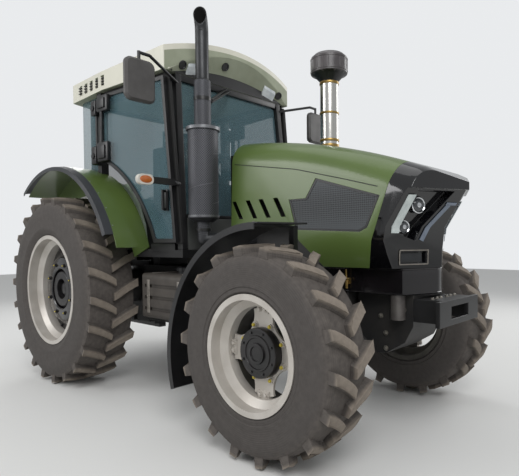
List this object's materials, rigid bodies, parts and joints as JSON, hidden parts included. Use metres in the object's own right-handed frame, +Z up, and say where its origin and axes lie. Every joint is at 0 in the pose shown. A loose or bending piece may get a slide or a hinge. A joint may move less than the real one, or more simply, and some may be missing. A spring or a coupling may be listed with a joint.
{
  "type": "farm tractor",
  "caption": "Farm tractor with four-wheel drive, lugged tyres, glazed cab, sloping hood with swept black nose, upright exhaust and intake stacks, and rear three-point linkage.",
  "frame": {"origin": "on the ground, in the middle of the tractor's length and width", "axes": "+X forward, +Y to the tractor's left, +Z up"},
  "size_m": [4.53, 2.3, 3.1148],
  "materials": {
    "green_paint": "gloss",
    "roof_paint": "satin",
    "black_gloss": "gloss",
    "black_frame": "satin",
    "cast_grey": "painted",
    "tyre": "dusty",
    "rim_silver": "satin",
    "glass": "tinted",
    "lamp": "clear",
    "dark_plastic": "grained",
    "grey_plastic": "grained",
    "seat_cover": "woven",
    "chrome": "polished",
    "exhaust_steel": "heat paint"
  },
  "bodies": {
    "chassis": {"cab_firewall": "dark_plastic", "cab_floor": "dark_plastic", "cab_rear_panel": "dark_plastic", "cab_roof": "roof_paint", "door_pillars": "black_frame", "drawbar": "black_frame", "engine_block": "cast_grey", "exhaust_stack": "exhaust_steel", "fender_flares": "grey_plastic", "front_axle": "black_frame", "front_carrier": "black_frame", "front_frame": "black_gloss", "front_pillars": "black_frame", "fuel_tank": "dark_plastic", "hood_support": "black_frame", "left_steps": "black_frame", "mirrors": "dark_plastic", "quarter_glass": "glass", "rear_axle": "cast_grey", "rear_fender_left": "green_paint", "rear_fender_right": "green_paint", "rear_pillars": "black_frame", "rear_window": "glass", "roof_lamps": "lamp", "seat": "seat_cover", "steering_console": "dark_plastic", "transmission": "cast_grey", "windscreen": "glass"},
    "hood": {"hood_shell": "green_paint", "nose_fascia": "black_gloss", "hood_grilles": "dark_plastic", "headlamps": "lamp", "intake_stack": "chrome"},
    "steering_rod": {"steering_rod": "chrome"},
    "lower_links": {"lower_links": "black_frame"},
    "lift_arms": {"lift_arms": "black_frame"},
    "lift_rods": {"lift_rods": "black_frame"},
    "door_left": {"door_left": "black_frame", "door_glass_left": "glass"},
    "knuckle_left": {"knuckle_left": "black_frame", "front_guard_left": "black_gloss"},
    "wheel_front_left": {"tyre_front_left": "tyre", "rim_front_left": "rim_silver", "hub_front_left": "black_frame"},
    "wheel_rear_left": {"tyre_rear_left": "tyre", "rim_rear_left": "rim_silver", "disc_rear_left": "black_frame"},
    "door_right": {"door_right": "black_frame", "door_glass_right": "glass"},
    "knuckle_right": {"knuckle_right": "black_frame", "front_guard_right": "black_gloss"},
    "wheel_front_right": {"tyre_front_right": "tyre", "rim_front_right": "rim_silver", "hub_front_right": "black_frame"},
    "wheel_rear_right": {"tyre_rear_right": "tyre", "rim_rear_right": "rim_silver", "disc_rear_right": "black_frame"}
  },
  "joints": [
    {"name": "steer_left", "type": "hinge", "parent": "chassis", "child": "knuckle_left", "pos_m": [1.405, 0.62, 0.645], "axis": [0, 0, 1], "range_deg": [-32, 32]},
    {"name": "wheel_front_left_spin", "type": "hinge", "parent": "knuckle_left", "child": "wheel_front_left", "pos_m": [1.405, 0.905, 0.645], "axis": [0, 1, 0], "continuous": true},
    {"name": "wheel_rear_left_spin", "type": "hinge", "parent": "chassis", "child": "wheel_rear_left", "pos_m": [-1.265, 0.895, 0.87], "axis": [0, 1, 0], "continuous": true},
    {"name": "door_left_swing", "type": "hinge", "parent": "chassis", "child": "door_left", "pos_m": [-0.81, 0.815, 2.15], "axis": [0, 0, 1], "range_deg": [0, 70]},
    {"name": "steer_right", "type": "hinge", "parent": "chassis", "child": "knuckle_right", "pos_m": [1.405, -0.62, 0.645], "axis": [0, 0, 1], "range_deg": [-32, 32]},
    {"name": "wheel_front_right_spin", "type": "hinge", "parent": "knuckle_right", "child": "wheel_front_right", "pos_m": [1.405, -0.905, 0.645], "axis": [0, 1, 0], "continuous": true},
    {"name": "wheel_rear_right_spin", "type": "hinge", "parent": "chassis", "child": "wheel_rear_right", "pos_m": [-1.265, -0.895, 0.87], "axis": [0, 1, 0], "continuous": true},
    {"name": "door_right_swing", "type": "hinge", "parent": "chassis", "child": "door_right", "pos_m": [-0.81, -0.815, 2.15], "axis": [0, 0, -1], "range_deg": [0, 70]},
    {"name": "steering_rod_slide", "type": "slide", "parent": "chassis", "child": "steering_rod", "axis": [0, -1, 0], "range_m": [-0.105, 0.105]},
    {"name": "hood_lift", "type": "hinge", "parent": "chassis", "child": "hood", "pos_m": [0.545, 0, 2.05], "axis": [0, -1, 0], "range_deg": [0, 40]},
    {"name": "linkage_lift", "type": "hinge", "parent": "chassis", "child": "lower_links", "pos_m": [-1.425, 0, 0.52], "axis": [0, 1, 0], "range_deg": [-14, 32]},
    {"name": "lift_arms_turn", "type": "hinge", "parent": "chassis", "child": "lift_arms", "pos_m": [-1.425, 0, 1.08], "axis": [0, 1, 0], "range_deg": [-14.5, 32.5]},
    {"name": "lift_rods_hang", "type": "hinge", "parent": "lift_arms", "child": "lift_rods", "pos_m": [-1.80423, 0, 1.05584], "axis": [0, 1, 0], "range_deg": [-32.5, 14.5]}
  ],
  "couplings": [
    {"joint": "steer_right", "follows": "steer_left", "ratio": 1},
    {"joint": "steering_rod_slide", "follows": "steer_left", "m_per_rad": 0.18028},
    {"joint": "lift_arms_turn", "follows": "linkage_lift", "ratio": 1},
    {"joint": "lift_rods_hang", "follows": "linkage_lift", "ratio": -1}
  ]
}
